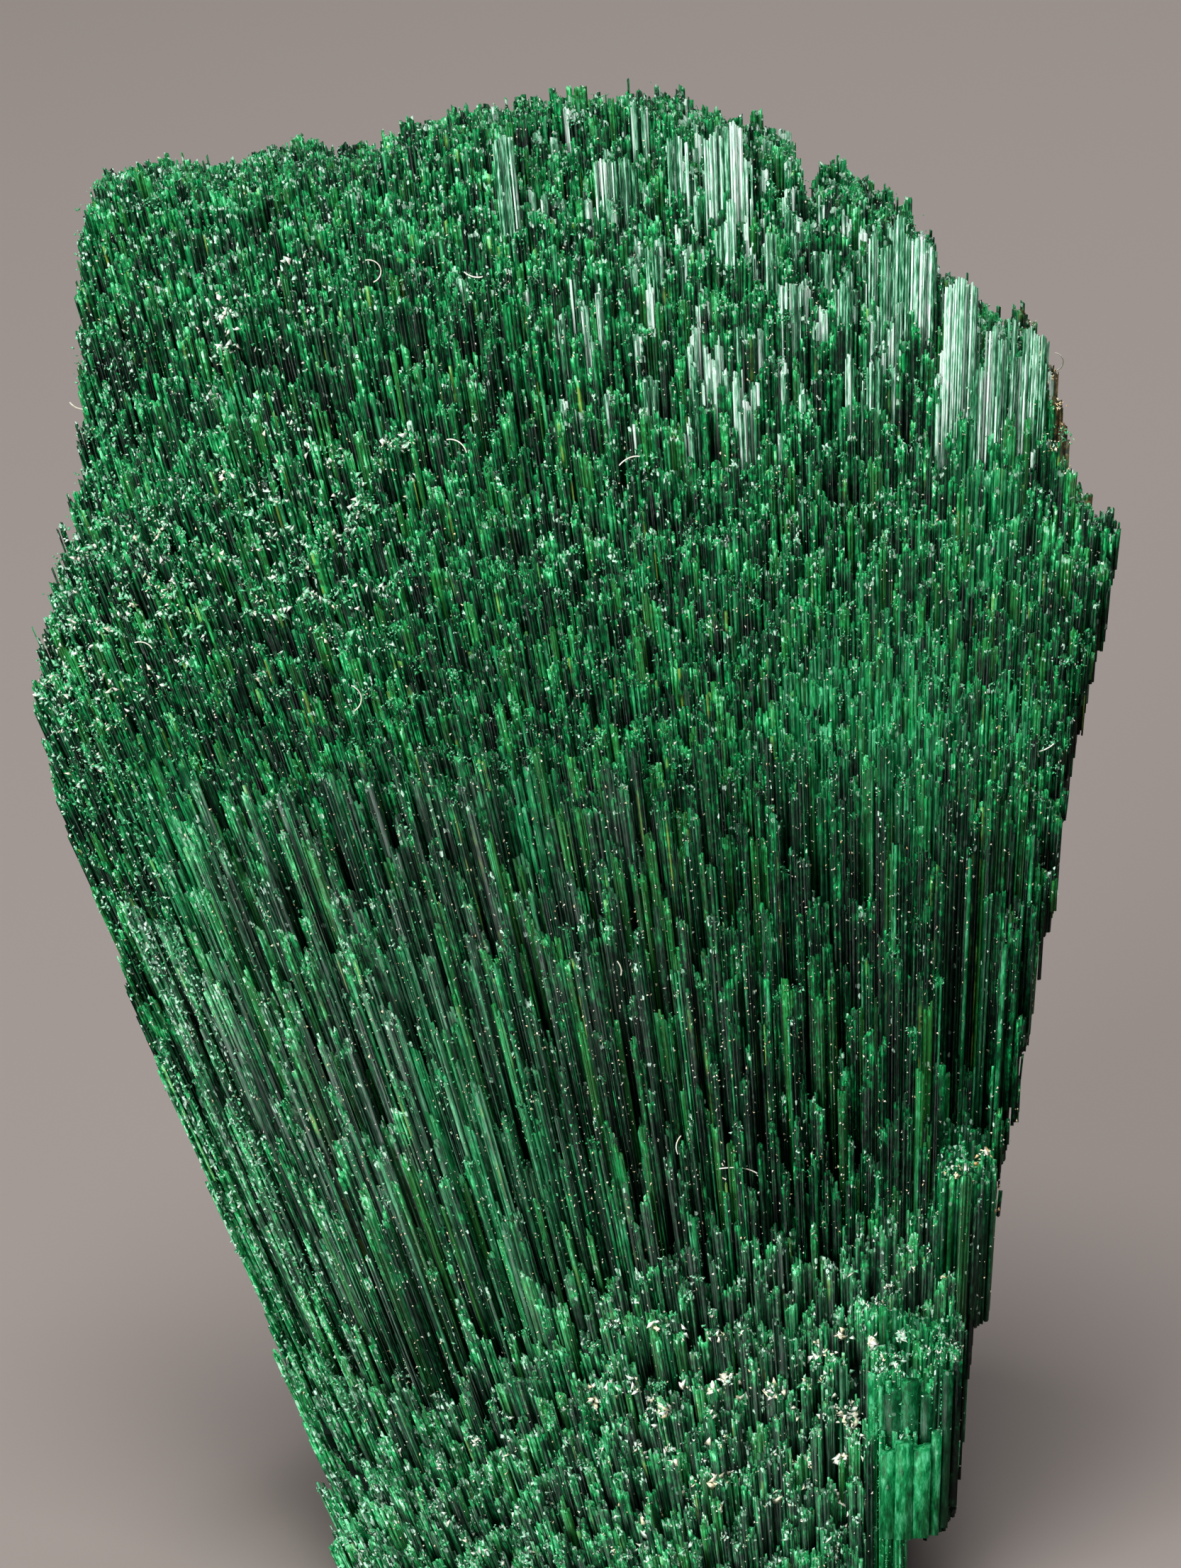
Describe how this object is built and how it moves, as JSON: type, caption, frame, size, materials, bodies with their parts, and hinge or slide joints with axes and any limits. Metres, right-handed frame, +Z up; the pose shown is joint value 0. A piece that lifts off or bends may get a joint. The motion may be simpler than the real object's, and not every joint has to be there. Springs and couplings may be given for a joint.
{
  "type": "fibrous malachite specimen",
  "caption": "Fan-shaped piece of silky green fibrous malachite, its upright crystals broken off in ledges, standing on a flat cut foot.",
  "frame": {"origin": "middle of the bounding box, at the height of the flat cut foot", "axes": "+Z up along the crystals, -Y out of the stepped face, +X to the right of that face"},
  "size_m": [0.0382, 0.025, 0.0519],
  "materials": {
    "malachite": "silky, long fibres with fine bright edges"
  },
  "bodies": {
    "root": {"malachite": "malachite"}
  },
  "joints": []
}
